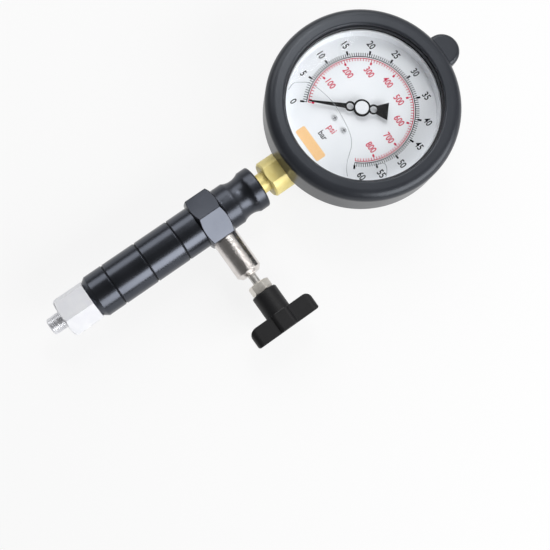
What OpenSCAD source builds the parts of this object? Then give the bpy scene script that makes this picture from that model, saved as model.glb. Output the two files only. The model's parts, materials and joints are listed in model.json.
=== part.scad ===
// Compression tester gauge: a dial gauge in a rubber boot, a turned handle,
// a bleed valve with a T knob and a hex end adapter with a hose nipple.
// Millimetres. The origin is the centre of the boot's flat back face.
// +Z points out of the dial and +X to the top of the dial.
// The handle runs along -X and the bleed valve points along -Y.

/* [Rubber boot] */
// Thickness of the rubber around the bezel
boot_wall = 7.5; // [6.5:0.25:9]
// Thickness of the closed back
boot_back = 7; // [6:0.5:9]
// Thickness of the front lip over the bezel
boot_lip = 3; // [2:0.25:5]
// Step from the bezel's bore out to the opening in the front lip
lip_step = 1.1; // [0.5:0.1:2]
// Rounding of the outer front edge
boot_edge_r = 6.5; // [4:0.5:7]
// Distance of the flat back face's edge inside the outer band
foot_inset = 8; // [6:0.5:10]
// Height of the straight outer band below the rounded edge
boot_band = 21; // [16:0.5:26]
// Width of the hanging lug
lug_w = 21.9; // [19:0.1:24]
// Reach of the lug beyond the boot
lug_reach = 11.2; // [9:0.1:14]
// Thickness of the lug
lug_t = 11; // [9:0.5:14]

/* [Gauge case] */
// Outer diameter of the case
case_d = 101; // [100:0.25:102]
// Wall thickness of the case
case_wall = 1.8; // [1.2:0.1:2]
// Overhang of the bezel ring beyond the case
bezel_over = 3; // [2.5:0.1:3.5]
// Grip of the bezel over the edge of the case rim
bezel_grip = 4.05; // [3.5:0.05:4.3]
// Thickness of the window
window_t = 3; // [2.5:0.1:3.5]
// Distance of the stem axis from the case back
stem_rise = 16; // [16:0.25:17]

/* [Dial and pointer] */
// Gap between the dial plate and the inside of the case
dial_gap = 0.3; // [0.2:0.05:0.5]
// Thickness of the dial plate
dial_t = 0.8; // [0.6:0.1:1.2]
// Depth of the dial face below the front of the bezel
dial_drop = 12.5; // [12:0.1:13]
// Height of the two posts between the movement and the dial plate
dial_post = 4.7; // [4.2:0.1:6]
// Wall of the white ring that keeps the window off the dial
ring_wall = 0.8; // [0.7:0.1:1.2]
// Length of the pointer from the shaft to the tip
pointer_len = 33.5; // [28:0.5:36]
// Length of the pointer tail
pointer_tail = 16.5; // [13:0.5:18]
// Diameter of the round pointer boss
pointer_boss_d = 11; // [10:0.2:12]
// Angle by which the pointer rests below the start of its scale
pointer_rest = 2.5; // [0:0.5:4]
// Distance of the two dial screws below the shaft
dial_screw_drop = 17; // [16.5:0.25:18]

/* [Gear train] */
// Gear module
gear_module = 0.4; // [0.38:0.01:0.42]
// Teeth on the pinion
pinion_teeth = 12; // [12:1:12]
// Sector turns once for this many pinion turns
gear_ratio = 8; // [8:1:8]
// Sideways play cut from each tooth
tooth_play = 0.04; // [0.03:0.005:0.06]
// Length of the sector tail from its arbor to the link pin
tail_len = 8.5; // [7.5:0.25:9]

/* [Bourdon tube] */
// Distance of the tube's centre line from the inside of the case
tube_inset = 10.7; // [10.2:0.1:11.2]
// Thickness of the flattened tube
tube_t = 5; // [4.5:0.1:5.4]
// Height of the flattened tube
tube_h = 11; // [10:0.25:11.5]
// Wall of the tube
tube_wall = 0.8; // [0.6:0.1:1]

/* [Stem] */
// Diameter of the brass stem bar
stem_d = 24.4; // [23.6:0.1:25.6]
// Width across the wrench flats of the stem
stem_flats = 22; // [21:0.25:23]
// Distance of the stem shoulder from the gauge centre
stem_shoulder = 72.1; // [70:0.1:74]
// Outer diameter of the stem thread
stem_thread_d = 13.3; // [12.6:0.1:13.6]

/* [Handle] */
// Distance of the handle's gauge end from the gauge centre
handle_start = 78.3; // [77.5:0.1:82]
// Length of the handle
handle_len = 125.5; // [120:0.25:130]
// Diameter of the handle
handle_d = 28.6; // [27.4:0.1:30]
// Width across the flats of the handle's hexagon
hex_af = 32.3; // [31.5:0.1:33]
// Length of the handle's hexagon
hex_len = 18; // [17:0.1:19]
// Distance of the hexagon from the handle's gauge end
hex_from_end = 28; // [27:0.2:30]
// Shift of the bleed valve from the hexagon's middle towards the gauge
valve_shift = 0.9; // [0:0.1:1.5]
// Depth of the rounded waist
waist_depth = 1.75; // [1:0.05:2.5]
// Width of the grip grooves
groove_w = 1.1; // [0.6:0.1:2]
// Depth of the grip grooves
groove_depth = 0.6; // [0.3:0.1:1]
// Spacing of the grip grooves
groove_pitch = 24; // [22:0.25:25]
// Diameter of the gas passage
gas_bore_d = 6; // [5:0.25:6.5]

/* [End adapter] */
// Width across the flats of the adapter's hexagon
adapter_af = 24; // [23.5:0.25:25]
// Length of the adapter's hexagon
adapter_hex_len = 20.5; // [18:0.25:22]
// Turn of the adapter's hexagon about the handle axis
adapter_turn = 41; // [0:1:59]
// Outer diameter of the hose nipple's thread
nipple_d = 11.1; // [10.5:0.1:12]
// Length of the hose nipple
nipple_len = 9.7; // [8:0.1:11]
// Lift of the check poppet
poppet_lift = 1.5; // [1:0.1:2]

/* [Bleed valve] */
// Diameter of the valve barrel
barrel_d = 17.3; // [16:0.1:18]
// Distance of the barrel's outer end from the handle axis
barrel_end = 44; // [42.5:0.25:45.5]
// Diameter of the valve stem
valve_stem_d = 5.3; // [5:0.1:5.6]
// Distance of the jam nut from the handle axis
nut_start = 50.5; // [49:0.25:52]
// Width across the flats of the jam nut
nut_af = 12.6; // [12:0.1:14]
// Thickness of the jam nut
nut_t = 6.6; // [5:0.1:7]
// Turn of the jam nut about the valve axis
nut_turn = 15; // [0:1:59]
// Length of the knob's hub
knob_hub_len = 15.7; // [14:0.1:17]
// Diameter of the knob's hub
knob_hub_d = 17.3; // [16:0.1:18.5]
// Length of the T bar
bar_len = 45.6; // [42:0.2:45.8]
// Height of the T bar along the valve axis
bar_h = 12.3; // [11:0.1:13]
// Thickness of the T bar
bar_t = 11.5; // [10.5:0.1:13]
// Rounding of the T bar's corners on the hub's side
bar_near_r = 5; // [3:0.1:5.4]
// Rounding of the T bar's outer corners
bar_far_r = 1.8; // [1:0.1:2.5]
// Length along the T bar of its thicker middle
bar_mid_len = 13; // [11:0.5:15]
// Thickness of the T bar's middle
bar_mid_t = 15.5; // [14:0.1:15.8]

/* [Clearances] */
// Radial play of a piece that is screwed or pushed in place
seat_play = 0.05; // [0.03:0.01:0.1]
// Radial play of a piece that turns or slides
run_play = 0.05; // [0.03:0.01:0.1]
// Play between flat neighbours that move past each other
side_play = 0.3; // [0.25:0.05:0.4]

/* [Hidden] */
$fn = 96;

// Heights above the boot's back face, from the case up through the movement
case_z = boot_back;
stem_z = case_z + stem_rise;
block_top = stem_z + 4.5;
block_bottom = stem_z - 9;
plate_t = 1.5;
back_plate_top = block_top + plate_t;
sector_t = 1.8;
sector_z = back_plate_top + 1.5;
sector_top = sector_z + sector_t;
link_t = 1;
link_z = sector_top + side_play;
link_top = link_z + link_t;
pinion_z = sector_z - 0.7;
pinion_h = sector_t + 1.4;
spring_z = link_top + 0.5;
spring_h = 0.8;
spring_out_r = 7.5;
front_plate_z = spring_z + spring_h + 0.6;
front_plate_top = front_plate_z + plate_t;

// Heights from the dial up to the boot's front
dial_back = front_plate_top + dial_post;
dial_front = dial_back + dial_t;
pointer_z = dial_front + 2.6;
pointer_t = 0.8;
bezel_front = dial_front + dial_drop;
boot_front = bezel_front + boot_lip;
bezel_flange = 1.2;
gasket_t = 1.2;
window_top = bezel_front - bezel_flange;
window_bottom = window_top - window_t;
rim_top = window_bottom - gasket_t;
rim_t = 2;
bezel_skirt = rim_t + 2.2;

// Radii of the case and boot
case_r = case_d / 2;
case_in_r = case_r - case_wall;
bezel_r = case_r + bezel_over;
rim_r = bezel_r - 1.2 - seat_play;
bezel_bore_r = rim_r - bezel_grip;
lip_r = bezel_bore_r + lip_step;
boot_r = bezel_r + boot_wall;
foot_r = boot_r - foot_inset;
dial_r = case_in_r - dial_gap;
dial_screw_sides = [-4.8, 4.8];
ring_r = case_in_r - seat_play;
tube_r = case_in_r - tube_inset;
plug_at = tube_r - 12;
plug_r = 6;

// Pointer outline
pointer_half = 1.9;
pointer_eye_at = 7.4;
pointer_eye_r = 2.2;
pointer_tail_half = 5.6;

// Gear geometry, with the pinion on the gauge axis
pressure_angle = 20;
sector_teeth = pinion_teeth * gear_ratio;
pinion_pitch_r = gear_module * pinion_teeth / 2;
sector_pitch_r = gear_module * sector_teeth / 2;
centre_dist = pinion_pitch_r + sector_pitch_r + 0.03;
pointer_sweep = 270;
sector_sweep = pointer_sweep / gear_ratio;
arbor_dir = -60;
arbor_p = centre_dist * cos(arbor_dir);
arbor_q = centre_dist * sin(arbor_dir);
arbor_r = 1.5;
shaft_r = 1.1;
mesh_dir = arbor_dir + 180;
sector_rest_dir = mesh_dir - sector_sweep / 2;
tail_mid_dir = -70;
tail_rest_dir = tail_mid_dir - sector_sweep / 2;
pin_r = 0.9;
tail_p = arbor_p + tail_len * cos(tail_rest_dir);
tail_q = arbor_q + tail_len * sin(tail_rest_dir);

// Bourdon tube, drawn upright with the stem at the bottom
tube_z = stem_z - 1.5;
tube_root_dir = 262;
tube_tip_dir = -30;
tip_p = (tube_r - 3.2) * cos(tube_tip_dir);
tip_q = (tube_r - 3.2) * sin(tube_tip_dir);
slot_travel_p = tail_len * (cos(tail_rest_dir + sector_sweep) - cos(tail_rest_dir));
slot_travel_q = tail_len * (sin(tail_rest_dir + sector_sweep) - sin(tail_rest_dir));

// Socket block inside the case
block_left = -17;
block_right = 9;
block_near = tube_r - 11;
block_far = tube_r + 4.7;
shank_r = 10;
seal_t = 1;
boss_end = case_r + 1.5;
bar_start = boss_end + seal_t;
socket_bore_r = 2;
thread_len = 10.5;
stem_end = handle_start + thread_len;
socket_screw_r = 2;
socket_head_r = 4;
socket_screw_reach = 5.3;
socket_screw_spots = [[5.5, -block_far + 3.5], [-9, -block_near - 3.2]];
movement_screw_spots = [[-12, -block_near - 3.2], [5.2, -block_near - 5.5]];
pillar_spots = [[-10, 5], [17, 5], [-10, 2.5 - block_near], [18.3, -block_near - 6.3]];
plate_left = -14;
plate_right = 21;
plate_up = 9;
plate_down = block_near + 9;

// Handle stations, measured from the gauge centre
handle_r = handle_d / 2;
handle_end = handle_start + handle_len;
hex_start = handle_start + hex_from_end;
hex_end = hex_start + hex_len;
valve_at = hex_start + hex_len / 2 - valve_shift;
flange_end = handle_start + 7;
collar_start = hex_start - 8.6;
waist_mid = (flange_end + collar_start) / 2;
waist_half = (collar_start - flange_end) / 2;
waist_r = (waist_half * waist_half + waist_depth * waist_depth) / (2 * waist_depth);
groove_first = hex_end + 15.3;
gas_bore_r = gas_bore_d / 2;
gauge_port_r = stem_thread_d / 2 + seat_play;
gauge_port_len = thread_len + 0.5;
adapter_shank_r = 8;
adapter_port_r = adapter_shank_r + seat_play;
adapter_port_len = 14.7;
adapter_seal_r = adapter_af / 2 - 1;
port_floor = handle_end - adapter_port_len;

// Adapter stations
adapter_end = handle_end + adapter_hex_len;
nipple_tip = adapter_end + nipple_len;
chamber_r = 4.5;
poppet_seat = handle_end + 8.8;
poppet_len = 6;
wire_r = 0.35;
spring_r = 3.65;
spring_turns = 6;
spring_len = poppet_seat - poppet_len - port_floor;

// Valve stations, measured from the handle axis
hex_face = hex_af / 2;
barrel_r = barrel_d / 2;
port_depth = 9.5;
valve_floor = hex_face - port_depth;
valve_shank_r = 6;
valve_port_r = valve_shank_r + seat_play;
body_seal_t = 1.5;
body_foot = valve_floor + body_seal_t;
valve_stem_r = valve_stem_d / 2;
screw_r = valve_stem_r + 0.6;
disc_t = 2.5;
screw_start = valve_floor + disc_t;
screw_end = barrel_end - 9.5;
gland_at = barrel_end - 6;
gland_h = 2;
nut_end = nut_start + nut_t;
hub_end = nut_end + knob_hub_len;
knob_end = hub_end + bar_h;
stem_tip_at = hub_end - 5;

// Places a drawing made with the dial's top up on the gauge axis
module upright(z) {
  translate([0, 0, z]) rotate([0, 0, -90]) children();
}

// Turns local Z along the handle, away from the gauge
module along_handle(s) {
  translate([-s, 0, stem_z]) rotate([0, -90, 0]) children();
}

// Turns local Z along the valve, away from the handle axis
module along_valve(t) {
  translate([-valve_at, -t, stem_z]) rotate([90, 0, 0]) children();
}

// Rectangle about the origin with round corners
module round_rect(w, h, r) {
  square([w - 2 * r, h], center = true);
  square([w, h - 2 * r], center = true);
  for (x = [-1, 1], y = [-1, 1]) {
    translate([x * (w / 2 - r), y * (h / 2 - r)]) circle(r);
  }
}

// Flat ring between two radii
module ring(r_out, r_in, h) {
  difference() {
    cylinder(r = r_out, h = h);
    translate([0, 0, -1]) cylinder(r = r_in, h = h + 2);
  }
}

// Hexagon bar with its corners turned down at the chosen ends
module hex_bar(af, len, near, far) {
  ac_r = af / sqrt(3);
  low_r = af / 2 - 0.3;
  top_r = ac_r + 0.2;
  rise = (top_r - low_r) * tan(30);
  near_pts = near ? [[low_r, 0], [top_r, rise]] : [[top_r, 0]];
  far_pts = far ? [[top_r, len - rise], [low_r, len]] : [[top_r, len]];
  intersection() {
    cylinder(r = ac_r, h = len, $fn = 6);
    rotate_extrude() polygon(concat([[0, 0]], near_pts, far_pts, [[0, len]]));
  }
}

// Angle between the radial line and an involute at a given roll angle
function involute(a) = tan(a) * 180 / PI - a;

// Half the tooth's angle at radius r for a gear of n teeth
function tooth_half(n, r, rb) = 90 / n + involute(pressure_angle)
  - involute(acos(min(1, rb / max(r, rb)))) - tooth_play / r * 180 / PI;

// Radii at which a tooth flank is drawn, from its foot to its tip
function flank_radii(low, foot, tip) = foot < low
  ? [foot, low, low + (tip - low) * 0.3, low + (tip - low) * 0.65, tip]
  : [foot, foot + (tip - foot) * 0.33, foot + (tip - foot) * 0.66, tip];

// Foot radius of a gear of n teeth
function foot_r_of(n) = gear_module * (n / 2 - 1.2);

// Outline of one tooth pointing in direction dir
function tooth_points(n, dir) = let (
    rb = gear_module * n / 2 * cos(pressure_angle),
    radii = flank_radii(rb, foot_r_of(n), gear_module * (n / 2 + 0.92)),
    last = len(radii) - 1)
  concat([for (r = radii) let (a = dir - tooth_half(n, r, rb)) [r * cos(a), r * sin(a)]],
    [for (i = [last : -1 : 0]) let (r = radii[i], a = dir + tooth_half(n, r, rb)) [r * cos(a), r * sin(a)]]);

// Boot wall outline without the hollow
module boot_outline() {
  band_top = boot_front - boot_edge_r;
  band_low = band_top - boot_band;
  polygon([[0, 0], [foot_r - 2, 0], [foot_r, 1.2], [boot_r, band_low], [boot_r, band_top],
    [boot_r - boot_edge_r, band_top], [boot_r - boot_edge_r, boot_front], [lip_r + 1.2, boot_front],
    [0, boot_front]]);
  translate([boot_r - boot_edge_r, band_top]) circle(boot_edge_r);
}

module rubber_boot() {
  skirt_low = rim_top - bezel_skirt;
  lug_mid = boot_front - 3.5 - lug_t / 2;
  lug_x = boot_r + lug_reach - lug_w / 2;
  wall_x = bezel_r + 1.5;
  color([0.2, 0.21, 0.23]) difference() {
    union() {
      rotate_extrude() boot_outline();
      translate([lug_x, 0, lug_mid]) rotate_extrude() intersection() {
        round_rect(lug_w, lug_t, 3);
        translate([0, -lug_t]) square([lug_w, 2 * lug_t]);
      }
      translate([wall_x, 0, lug_mid]) rotate([90, 0, 90]) linear_extrude(lug_x - wall_x)
        round_rect(lug_w, lug_t, 3);
    }
    translate([0, 0, case_z]) cylinder(r = case_r + seat_play, h = boot_front);
    translate([0, 0, skirt_low]) cylinder(r = bezel_r + seat_play, h = bezel_front - skirt_low);
    along_handle(case_r - 10) cylinder(r = stem_d / 2 + seat_play, h = boot_r - case_r + 20);
  }
  color([0.2, 0.21, 0.23]) rotate_extrude() lip_section();
}

// Section of the boot's front lip with its rounded inner edge
module lip_section() {
  edge = boot_lip / 2;
  translate([lip_r + edge, bezel_front]) square([bezel_r - lip_r - edge, boot_lip]);
  translate([lip_r + edge, bezel_front + edge]) circle(edge);
}

module gauge_case() {
  color([0.28, 0.28, 0.3]) difference() {
    union() {
      rotate_extrude() polygon([[0, case_z], [case_r, case_z], [case_r, rim_top - rim_t],
        [rim_r, rim_top - rim_t], [rim_r, rim_top], [case_in_r, rim_top],
        [case_in_r, case_z + 1.5], [0, case_z + 1.5]]);
      along_handle(case_in_r) cylinder(r = stem_d / 2, h = boss_end - case_in_r);
      upright(case_z + 1) translate([block_left, -block_far])
        cube([block_right - block_left, block_far - block_near, block_bottom - case_z - 1]);
    }
    along_handle(case_in_r - 10) cylinder(r = shank_r + seat_play, h = boss_end - case_in_r + 20);
    upright(0) translate([0, plug_at]) cylinder(r = plug_r + seat_play, h = case_z + 4);
    for (s = socket_screw_spots) upright(0) translate(s) {
      cylinder(r = socket_screw_r + seat_play, h = stem_z);
      translate([0, 0, case_z])
        cylinder(r1 = socket_head_r + seat_play, r2 = socket_screw_r + seat_play, h = 2);
    }
  }
}

module bezel_ring() {
  bore_r = bezel_bore_r;
  low = rim_top - bezel_skirt;
  color([0.1, 0.1, 0.11]) rotate_extrude() polygon([[bore_r, window_top],
    [rim_r + seat_play, window_top], [rim_r + seat_play, rim_top - rim_t],
    [case_r + seat_play, rim_top - rim_t], [case_r + seat_play, low], [bezel_r, low],
    [bezel_r, bezel_front], [bore_r + 0.4, bezel_front], [bore_r, window_top + 0.6]]);
}

module window() {
  color([0.85, 0.9, 0.92, 0.3]) translate([0, 0, window_bottom])
    cylinder(r = rim_r - 0.3, h = window_t);
}

module window_gasket() {
  color([0.12, 0.12, 0.12]) translate([0, 0, rim_top])
    ring(rim_r - 0.3, case_in_r + 0.5, gasket_t);
}

module blowout_plug() {
  color([0.15, 0.15, 0.15]) upright(case_z) translate([0, plug_at]) {
    cylinder(r = plug_r, h = 1.5);
    translate([0, 0, 1.5]) cylinder(r = plug_r + 2, h = 1.5);
  }
}

module dial_plate() {
  color([0.95, 0.95, 0.95]) difference() {
    translate([0, 0, dial_back]) cylinder(r = dial_r, h = dial_t);
    translate([0, 0, dial_back - 1]) cylinder(r = 3, h = dial_t + 2);
    for (p = dial_screw_sides) upright(dial_back - 1) translate([p, -dial_screw_drop])
      cylinder(r = 0.9 + seat_play, h = dial_t + 2);
  }
}

module dial_screws() {
  color([0.6, 0.6, 0.62]) for (p = dial_screw_sides) upright(dial_front) translate([p, -dial_screw_drop])
    difference() {
      union() {
        cylinder(r = 1.7, h = 0.7);
        translate([0, 0, -dial_t - 2.5]) cylinder(r = 0.9, h = dial_t + 3);
      }
      translate([-2, -0.2, 0.35]) cube([4, 0.4, 1]);
    }
}

module spacer_ring() {
  color([0.93, 0.94, 0.95]) translate([0, 0, dial_front])
    ring(ring_r, ring_r - ring_wall, window_bottom - dial_front);
}

// Pointer outline, pointing up
module pointer_outline() {
  half = pointer_half;
  shoulder = pointer_eye_at + 2;
  slim = half * 0.8;
  tip = half * 0.18;
  polygon([[-half, 0], [half, 0], [slim, shoulder], [tip, pointer_len], [-tip, pointer_len],
    [-slim, shoulder]]);
  polygon([[-half, 0], [-half, -pointer_eye_at], [-pointer_tail_half, -pointer_tail],
    [pointer_tail_half, -pointer_tail], [half, -pointer_eye_at], [half, 0]]);
  circle(d = pointer_boss_d);
  for (q = [-pointer_eye_at, pointer_eye_at]) translate([0, q]) circle(pointer_eye_r + 1);
}

module pointer() {
  color([0.08, 0.08, 0.08]) upright(pointer_z) rotate([0, 0, pointer_sweep / 2 + pointer_rest]) difference() {
    linear_extrude(pointer_t) pointer_outline();
    translate([0, 0, -1]) cylinder(r = pointer_boss_d / 2 - 1.3 + seat_play, h = 5);
    for (q = [-pointer_eye_at, pointer_eye_at]) translate([0, q, -1]) cylinder(r = pointer_eye_r, h = 5);
  }
}

module pointer_bush() {
  color([0.8, 0.8, 0.82]) difference() {
    union() {
      translate([0, 0, pointer_z]) cylinder(r = pointer_boss_d / 2 - 1.3, h = pointer_t + 0.3);
      translate([0, 0, pointer_z - 1]) cylinder(r = pointer_boss_d / 2 - 0.4, h = 1);
      translate([0, 0, pointer_z - 1.8]) cylinder(r = 2.2, h = 1);
    }
    translate([0, 0, pointer_z - 2]) cylinder(r = shaft_r + seat_play, h = pointer_t + 5);
  }
}

module pinion_shaft() {
  step = 360 / pinion_teeth;
  color([0.75, 0.62, 0.3]) {
    translate([0, 0, block_top + 0.3]) cylinder(r = shaft_r, h = pointer_z + 0.9 - block_top);
    translate([0, 0, spring_z - 0.1]) cylinder(r = 1.7, h = spring_h + 0.2);
    upright(pinion_z) linear_extrude(pinion_h)
      polygon([for (i = [0 : pinion_teeth - 1]) each tooth_points(pinion_teeth, arbor_dir + i * step)]);
  }
}

// Spiral strip from the shaft collet to the stud
module hairspring() {
  turns = 4;
  r_in = 1.95;
  r_out = spring_out_r;
  half = 0.12;
  steps = turns * 18;
  out = [for (i = [0 : steps]) let (r = r_in + (r_out - r_in) * i / steps + half, a = i * 20)
    [r * cos(a), r * sin(a)]];
  back = [for (i = [steps : -1 : 0]) let (r = r_in + (r_out - r_in) * i / steps - half, a = i * 20)
    [r * cos(a), r * sin(a)]];
  color([0.85, 0.7, 0.4]) upright(spring_z) linear_extrude(spring_h) polygon(concat(out, back));
}

// Outline shared by the two movement plates
module plate_outline() {
  translate([(plate_left + plate_right) / 2, (plate_up - plate_down) / 2])
    round_rect(plate_right - plate_left, plate_up + plate_down, 3);
}

module movement_back_plate() {
  color([0.78, 0.66, 0.34]) upright(block_top) difference() {
    linear_extrude(plate_t) plate_outline();
    translate([0, 0, -1]) cylinder(r = shaft_r + run_play, h = 5);
    translate([arbor_p, arbor_q, -1]) cylinder(r = arbor_r + run_play, h = 5);
    for (s = movement_screw_spots) translate([s[0], s[1], -1]) cylinder(r = 1.5 + seat_play, h = 5);
    for (s = pillar_spots) translate([s[0], s[1], -1]) cylinder(r = 1.2 + seat_play, h = 5);
  }
}

module movement_front_plate() {
  color([0.78, 0.66, 0.34]) upright(front_plate_z) difference() {
    union() {
      linear_extrude(plate_t) plate_outline();
      for (p = dial_screw_sides) translate([p, -dial_screw_drop, 0.5])
        cylinder(r = 2.2, h = plate_t + dial_post - 0.5);
      translate([spring_out_r + 0.55, -0.4, -spring_h - 0.6]) cube([1, 0.8, spring_h + 1]);
    }
    translate([0, 0, -1]) cylinder(r = shaft_r + run_play, h = 5);
    translate([arbor_p, arbor_q, -1]) cylinder(r = arbor_r + run_play, h = 5);
    for (p = dial_screw_sides) translate([p, -dial_screw_drop, plate_t + dial_post - 2.7])
      cylinder(r = 0.9 + seat_play, h = 5);
    for (s = pillar_spots) translate([s[0], s[1], -1]) cylinder(r = 1.2 + seat_play, h = 5);
  }
}

module movement_pillars() {
  color([0.72, 0.6, 0.32]) for (s = pillar_spots) upright(block_top) translate(s) {
    cylinder(r = 1.2, h = front_plate_top - block_top);
    translate([0, 0, plate_t]) cylinder(r = 2, h = front_plate_z - back_plate_top);
  }
}

module movement_screws() {
  color([0.6, 0.6, 0.62]) for (s = movement_screw_spots) upright(back_plate_top) translate(s) {
    cylinder(r = 2.4, h = 1);
    translate([0, 0, -plate_t - 3]) cylinder(r = 1.5, h = plate_t + 3.5);
  }
}

module sector_gear() {
  half_teeth = 6;
  step = 360 / sector_teeth;
  rim = [for (i = [-half_teeth : half_teeth]) each tooth_points(sector_teeth, sector_rest_dir + i * step)];
  color([0.8, 0.68, 0.36]) upright(sector_z) translate([arbor_p, arbor_q]) difference() {
    linear_extrude(sector_t) {
      polygon(concat([[0, 0]], rim));
      circle(4);
      rotate(tail_rest_dir) {
        translate([0, -1.8]) square([tail_len, 3.6]);
        translate([tail_len, 0]) circle(2.2);
      }
    }
    translate([0, 0, -1]) cylinder(r = arbor_r + seat_play, h = 5);
    rotate(tail_rest_dir) translate([tail_len, 0, -1]) cylinder(r = pin_r + seat_play, h = 5);
    rotate(sector_rest_dir) translate([sector_pitch_r * 0.64, 0, -1]) cylinder(r = 2.6, h = 5);
  }
}

module sector_arbor() {
  color([0.62, 0.62, 0.64]) upright(block_top + 0.3) translate([arbor_p, arbor_q])
    cylinder(r = arbor_r, h = front_plate_top - block_top - 0.6);
}

module tail_pin() {
  color([0.62, 0.62, 0.64]) upright(sector_z) translate([tail_p, tail_q])
    cylinder(r = pin_r, h = link_top + 0.3 - sector_z);
}

module link_bar() {
  reach = [tip_p - tail_p, tip_q - tail_q];
  span = norm(reach);
  turn = atan2(reach[1], reach[0]);
  color([0.7, 0.7, 0.72]) upright(link_z) translate([tail_p, tail_q]) rotate(turn) difference() {
    linear_extrude(link_t) {
      translate([0, -1.1]) square([span, 2.2]);
      circle(1.9);
      translate([span, 0]) circle(1.9);
    }
    translate([0, 0, -1]) cylinder(r = pin_r + run_play, h = 4);
    translate([span, 0, -1]) cylinder(r = pin_r + seat_play, h = 4);
  }
}

module tip_pin() {
  low = sector_z - 0.3;
  color([0.62, 0.62, 0.64]) upright(low) translate([tip_p, tip_q])
    cylinder(r = pin_r, h = link_top + 0.3 - low);
}

// Section of the flattened tube, narrow across the radius
module tube_section(grow) {
  w = tube_t + 2 * grow;
  h = tube_h + 2 * grow;
  square([w, h - w], center = true);
  for (y = [-1, 1]) translate([0, y * (h - w) / 2]) circle(w / 2);
}

// Sweep of the tube's section between two directions
module tube_sweep(from, to, grow) {
  rotate(from) rotate_extrude(angle = to - from) translate([tube_r, 0]) tube_section(grow);
}

module bourdon_tube() {
  color([0.72, 0.55, 0.3]) upright(tube_z) difference() {
    tube_sweep(tube_tip_dir, tube_root_dir, 0);
    tube_sweep(tube_tip_dir - 2, tube_root_dir + 2, -tube_wall);
  }
}

module tube_tip() {
  cap = 5;
  flange_z = sector_z;
  turn = atan2(slot_travel_q, slot_travel_p);
  travel = norm([slot_travel_p, slot_travel_q]);
  slot_r = pin_r + side_play + tail_len * (1 - cos(sector_sweep / 2));
  color([0.76, 0.6, 0.34]) upright(0) difference() {
    union() {
      rotate(tube_tip_dir) translate([tube_r - tube_t / 2 - 0.8, -cap, tube_z - tube_h / 2 - 0.8])
        cube([tube_t + 1.6, cap, tube_h + 1.6]);
      rotate(tube_tip_dir) translate([tube_r - tube_t / 2 - 0.8, -cap, tube_z])
        cube([tube_t + 1.6, 2.4, flange_z + sector_t - tube_z]);
      translate([tip_p, tip_q, flange_z]) rotate(turn) translate([travel / 2, 0])
        linear_extrude(sector_t) round_rect(travel + 2 * slot_r + 3, 2 * slot_r + 3, slot_r + 1.4);
    }
    translate([tip_p, tip_q, flange_z - 1]) rotate(turn) {
      translate([0, -slot_r, 0]) cube([travel, 2 * slot_r, 5]);
      cylinder(r = slot_r, h = 5);
      translate([travel, 0, 0]) cylinder(r = slot_r, h = 5);
    }
  }
}

module gauge_socket() {
  edge = 1.2;
  color([0.85, 0.75, 0.4]) difference() {
    union() {
      upright(block_bottom) translate([block_left, -block_far])
        cube([block_right - block_left, block_far - block_near, block_top - block_bottom]);
      along_handle(block_far - 1) cylinder(r = shank_r, h = bar_start - block_far + 2);
      intersection() {
        along_handle(bar_start) {
          cylinder(r = stem_d / 2, h = stem_shoulder - bar_start - edge);
          translate([0, 0, stem_shoulder - bar_start - edge])
            cylinder(r1 = stem_d / 2, r2 = stem_d / 2 - edge, h = edge);
        }
        translate([-stem_shoulder - 1, -stem_flats / 2 - 2, stem_z - stem_flats / 2])
          cube([stem_shoulder, stem_flats + 4, stem_flats]);
      }
      along_handle(stem_shoulder - 1) cylinder(r = stem_thread_d / 2, h = stem_end - stem_shoulder);
      along_handle(stem_end - 1)
        cylinder(r1 = stem_thread_d / 2, r2 = stem_thread_d / 2 - 1, h = 1);
    }
    along_handle(tube_r) cylinder(r = socket_bore_r, h = stem_end);
    upright(tube_z) tube_sweep(tube_root_dir, 230, seat_play);
    upright(stem_z - 1) translate([0, -tube_r, 0]) rotate([0, -90, 0])
      cylinder(r = 1.4, h = 6);
    for (s = socket_screw_spots) upright(block_bottom - 1) translate(s)
      cylinder(r = socket_screw_r + seat_play, h = socket_screw_reach + 1.2);
    for (s = movement_screw_spots) upright(block_top - 3.2) translate(s)
      cylinder(r = 1.5 + seat_play, h = 5);
  }
}

module socket_screws() {
  color([0.6, 0.6, 0.62]) for (s = socket_screw_spots) upright(case_z) translate(s) {
    cylinder(r1 = socket_head_r, r2 = socket_screw_r, h = 2);
    cylinder(r = socket_screw_r, h = block_bottom + socket_screw_reach - case_z);
  }
}

module socket_seal() {
  color([0.12, 0.12, 0.12]) along_handle(boss_end)
    ring(stem_flats / 2, shank_r + seat_play, seal_t);
}

// Turned outside of the handle, drawn along local Z from its gauge end
module handle_outside() {
  end_len = 3.4;
  end_step = 2.4;
  edge = 1.2;
  rotate_extrude() {
    polygon([[0, 0], [handle_r - edge, 0], [handle_r - edge, edge], [handle_r, edge],
      [handle_r, handle_len - end_len], [handle_r - end_step, handle_len], [0, handle_len]]);
    translate([handle_r - edge, edge]) circle(edge);
  }
  translate([0, 0, hex_from_end]) hex_bar(hex_af, hex_len, true, true);
}

module handle() {
  color([0.07, 0.07, 0.08]) difference() {
    along_handle(handle_start) handle_outside();
    along_handle(waist_mid) rotate_extrude()
      translate([handle_r - waist_depth + waist_r, 0]) circle(waist_r);
    for (i = [0 : 2]) along_handle(groove_first + i * groove_pitch - groove_w / 2)
      ring(handle_r + 2, handle_r - groove_depth, groove_w);
    along_handle(handle_start - 1) cylinder(r = gas_bore_r, h = handle_len + 2);
    along_handle(handle_start - 1) cylinder(r = gauge_port_r, h = gauge_port_len + 1);
    along_handle(port_floor) cylinder(r = adapter_port_r, h = adapter_port_len + 1);
    along_handle(handle_end - body_seal_t) cylinder(r = adapter_seal_r + seat_play, h = body_seal_t + 1);
    along_valve(0) cylinder(r = 1.2, h = hex_face);
    along_valve(valve_floor) cylinder(r = valve_port_r, h = port_depth + 5);
  }
}

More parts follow.
